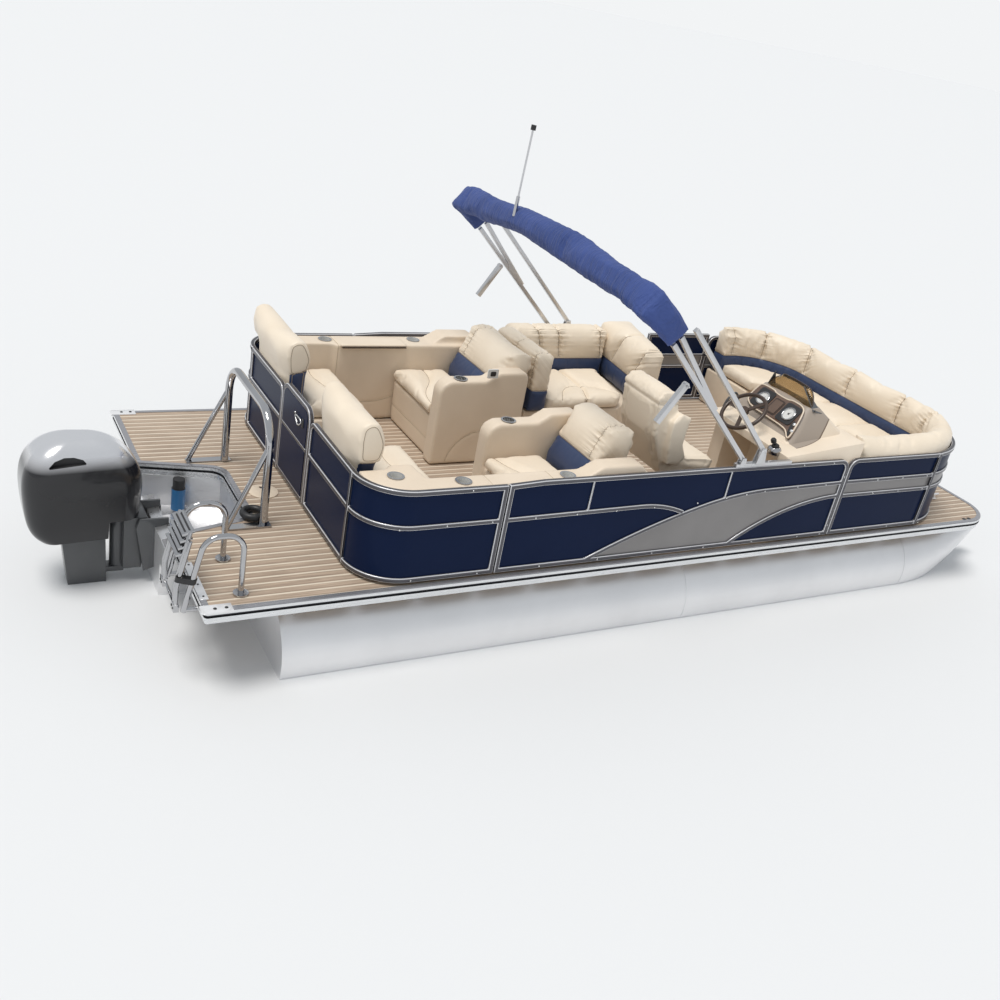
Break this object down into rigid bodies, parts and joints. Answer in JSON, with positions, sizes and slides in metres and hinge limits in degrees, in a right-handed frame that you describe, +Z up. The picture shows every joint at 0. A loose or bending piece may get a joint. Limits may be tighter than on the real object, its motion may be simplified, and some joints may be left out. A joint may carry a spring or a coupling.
{
  "type": "pontoon boat",
  "caption": "Pontoon boat with two aluminium floats, a fenced lounge deck, helm, folded canopy and an outboard engine.",
  "frame": {"origin": "on the waterline, amidships on the centreline", "axes": "+X towards the bow, +Y to port, +Z up"},
  "size_m": [7.3923, 2.608, 3.4331],
  "materials": {
    "hull_aluminium": "brushed mill finish",
    "deck_teak": "teak-look floor with pale stripes",
    "trim_aluminium": "satin extrusion",
    "rail_pewter": "satin pewter",
    "panel_navy": "gloss metallic navy",
    "panel_taupe": "satin taupe",
    "vinyl_cream": "soft marine vinyl",
    "base_cream": "moulded, lightly grained",
    "canvas_navy": "woven canvas",
    "frame_silver": "anodised",
    "stainless": "polished",
    "engine_black": "gloss black",
    "engine_grey": "satin charcoal",
    "propeller_steel": "polished steel",
    "dash_wood": "wood-look panel",
    "screen_tint": "tinted clear plastic",
    "wheel_brown": "stitched rim",
    "black_plastic": "moulded"
  },
  "bodies": {
    "hull": {"float_port": "hull_aluminium", "float_starboard": "hull_aluminium", "tow_eyes": "hull_aluminium", "motor_pod": "hull_aluminium", "cross_channels": "hull_aluminium", "deck": "deck_teak", "deck_trim": "trim_aluminium", "fence_rails_aft": "rail_pewter", "fence_rails_sides": "rail_pewter", "fence_rails_bow": "rail_pewter", "fence_panels_aft": "panel_navy", "fence_panels_sides": "panel_navy", "fence_panels_bow": "panel_navy", "fence_swooshes": "panel_taupe", "fence_band": "panel_taupe", "stern_seat_bases": "base_cream", "stern_seat_cushions": "vinyl_cream", "stern_seat_backs": "vinyl_cream", "lounger_bases": "base_cream", "lounger_cushions": "vinyl_cream", "lounger_backs": "vinyl_cream", "side_consoles": "base_cream", "cup_holders": "stainless", "bench_base": "base_cream", "bench_cushion": "vinyl_cream", "bench_backs": "vinyl_cream", "bow_base": "base_cream", "bow_cushion": "vinyl_cream", "bow_backs": "vinyl_cream", "helm_console": "base_cream", "helm_dash": "dash_wood", "helm_windscreen": "screen_tint", "helm_throttle": "black_plastic", "chair_pedestal": "stainless", "tow_bar": "stainless", "boarding_rails": "stainless", "engine_bracket": "engine_grey", "canopy_bases": "frame_silver", "deck_plate": "base_cream", "well_fittings": "black_plastic", "bow_cleats": "stainless"},
    "engine_swivel": {"engine_swivel": "engine_grey"},
    "engine": {"engine_cowl": "engine_black", "engine_lower_unit": "engine_grey"},
    "propeller": {"propeller": "propeller_steel"},
    "steering_wheel": {"steering_wheel": "wheel_brown"},
    "captains_chair": {"captains_chair": "vinyl_cream"},
    "stern_gate": {"stern_gate_frame": "rail_pewter", "stern_gate_panel": "panel_navy"},
    "port_gate": {"port_gate_frame": "rail_pewter", "port_gate_panel": "panel_navy", "port_gate_band": "panel_taupe"},
    "ladder": {"ladder": "stainless"},
    "canopy_frame": {"canopy_frame": "frame_silver", "canopy_boot": "canvas_navy", "stern_light": "frame_silver"},
    "canopy_braces": {"canopy_braces": "frame_silver"},
    "canopy_struts": {"canopy_struts": "frame_silver"}
  },
  "joints": [
    {"name": "engine_tilt", "type": "hinge", "parent": "hull", "child": "engine_swivel", "pos_m": [-3.24, 0, 0.415], "axis": [0, 1, 0], "range_deg": [0, 65]},
    {"name": "engine_steer", "type": "hinge", "parent": "engine_swivel", "child": "engine", "pos_m": [-3.38, 0, 0.27], "axis": [0, 0, 1], "range_deg": [-30, 30]},
    {"name": "propeller_spin", "type": "hinge", "parent": "engine", "child": "propeller", "pos_m": [-3.85, 0, -0.33], "axis": [1, 0, 0], "continuous": true},
    {"name": "wheel_turn", "type": "hinge", "parent": "hull", "child": "steering_wheel", "pos_m": [0.68, -0.72, 1.3], "axis": [0.6428, 0, -0.766], "range_deg": [-600, 600]},
    {"name": "chair_swivel", "type": "hinge", "parent": "hull", "child": "captains_chair", "pos_m": [0.09, -0.715, 0.935], "axis": [0, 0, 1], "continuous": true},
    {"name": "stern_gate_swing", "type": "hinge", "parent": "hull", "child": "stern_gate", "pos_m": [-2.296, 0.265, 0.87], "axis": [0, 0, 1], "range_deg": [0, 90]},
    {"name": "port_gate_swing", "type": "hinge", "parent": "hull", "child": "port_gate", "pos_m": [1.978, 1.226, 0.87], "axis": [0, 0, 1], "range_deg": [0, 90]},
    {"name": "ladder_fold", "type": "hinge", "parent": "hull", "child": "ladder", "pos_m": [-3.295, -0.9725, 0.47], "axis": [0, -1, 0], "range_deg": [0, 168]},
    {"name": "canopy_fold", "type": "hinge", "parent": "hull", "child": "canopy_frame", "pos_m": [0.26, 0, 1.202], "axis": [0, -1, 0], "range_deg": [0, 20]},
    {"name": "canopy_brace_swing", "type": "hinge", "parent": "hull", "child": "canopy_braces", "pos_m": [0.41, 0, 1.265], "axis": [0, -1, 0], "range_deg": [0, 20]},
    {"name": "canopy_strut_swing", "type": "hinge", "parent": "canopy_frame", "child": "canopy_struts", "pos_m": [-0.35, 0, 1.715], "axis": [0, -1, 0], "range_deg": [-20, 0]}
  ],
  "couplings": [
    {"joint": "wheel_turn", "follows": "engine_steer", "ratio": 20},
    {"joint": "canopy_brace_swing", "follows": "canopy_fold", "ratio": 1},
    {"joint": "canopy_strut_swing", "follows": "canopy_fold", "ratio": -1}
  ]
}
